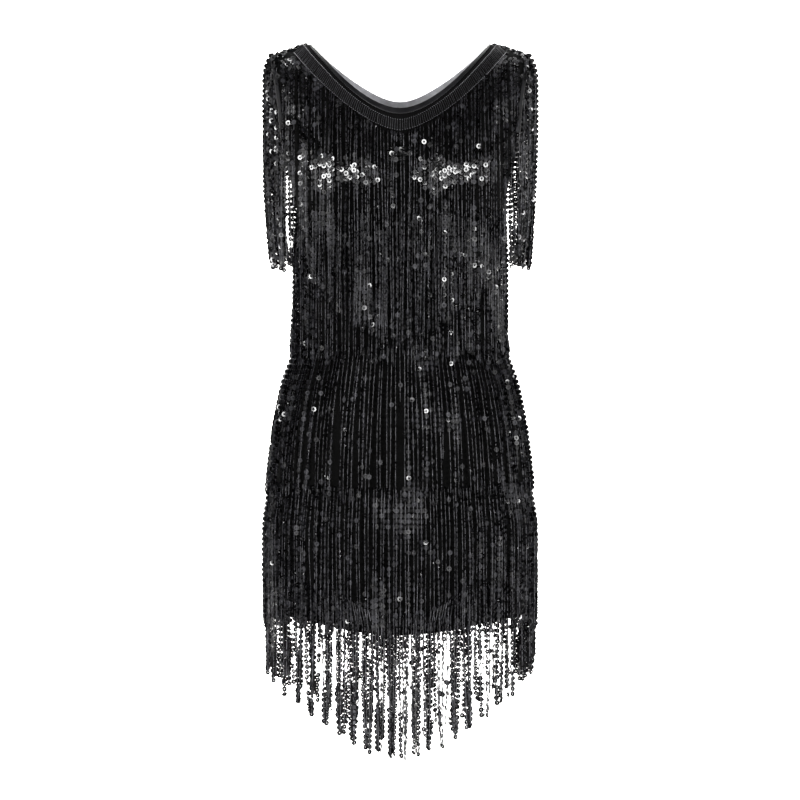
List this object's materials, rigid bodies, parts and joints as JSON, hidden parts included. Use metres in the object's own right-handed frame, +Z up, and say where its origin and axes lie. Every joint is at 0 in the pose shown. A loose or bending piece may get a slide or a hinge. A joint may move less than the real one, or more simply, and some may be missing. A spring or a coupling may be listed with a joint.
{
  "type": "latin dance dress",
  "caption": "Sleeveless V-neck latin dance dress, mid-thigh, covered in rows of hanging sequin fringe; filled out as worn, hollow, with nobody in it.",
  "frame": {"origin": "midway between the two shoulder seams, where the wearer's shoulders carry the dress", "axes": "+Z up, the front of the dress faces -Y, the wearer's left side is at +X"},
  "size_m": [0.3442, 0.2459, 0.8911],
  "materials": {
    "black_knit": "matt stretch knit",
    "black_satin": "satin weave",
    "grey_satin": "satin weave",
    "black_sequins": "high gloss sequins on thread"
  },
  "bodies": {
    "root": {"front_panel": "black_knit", "back_panel": "black_knit", "neck_binding_front": "black_satin", "neck_binding_back": "grey_satin", "armhole_binding_left": "black_satin", "armhole_binding_right": "black_satin", "neck_fringe_front": "black_sequins", "neck_fringe_back": "black_sequins", "bust_fringe": "black_sequins", "waist_fringe": "black_sequins", "hip_fringe": "black_sequins", "hem_fringe": "black_sequins", "sleeve_fringe_left": "black_sequins", "sleeve_fringe_right": "black_sequins"}
  },
  "joints": []
}
